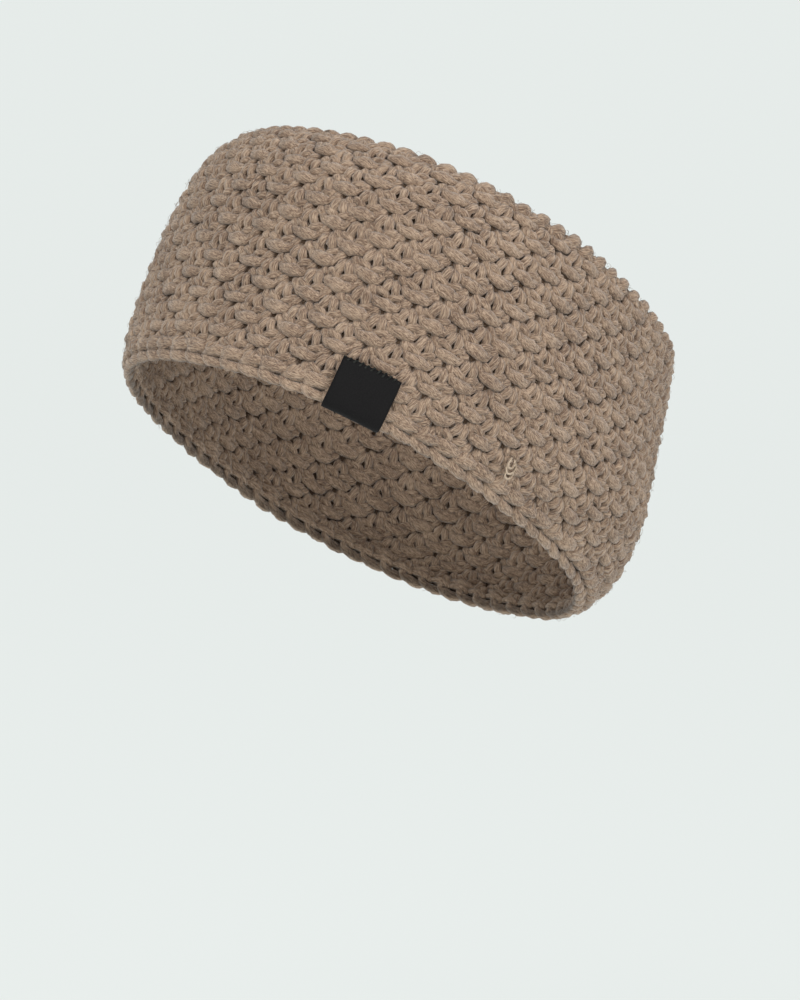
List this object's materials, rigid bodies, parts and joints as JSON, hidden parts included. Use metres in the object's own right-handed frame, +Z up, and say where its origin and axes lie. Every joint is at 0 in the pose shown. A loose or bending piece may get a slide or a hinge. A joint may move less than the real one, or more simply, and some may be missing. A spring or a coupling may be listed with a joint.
{
  "type": "ear warmer headband",
  "caption": "Wide knitted band worn round the head over the forehead and ears, in chunky seed stitch, with a folded tape label.",
  "frame": {"origin": "middle of the hollow that the head fills, halfway up the band", "axes": "+Z up as worn on an upright head, +X to the wearer's left, -Y out of the forehead; the band itself is tilted 27.5 degrees, with the forehead side up"},
  "size_m": [0.1818, 0.211, 0.173],
  "materials": {
    "taupe_yarn": "chunky wool blend yarn, soft and matt",
    "black_tape": "woven tape with a faint sheen"
  },
  "bodies": {
    "root": {"knit_band": "taupe_yarn", "bound_off_edge": "taupe_yarn", "cast_on_edge": "taupe_yarn", "label": "black_tape"}
  },
  "joints": []
}
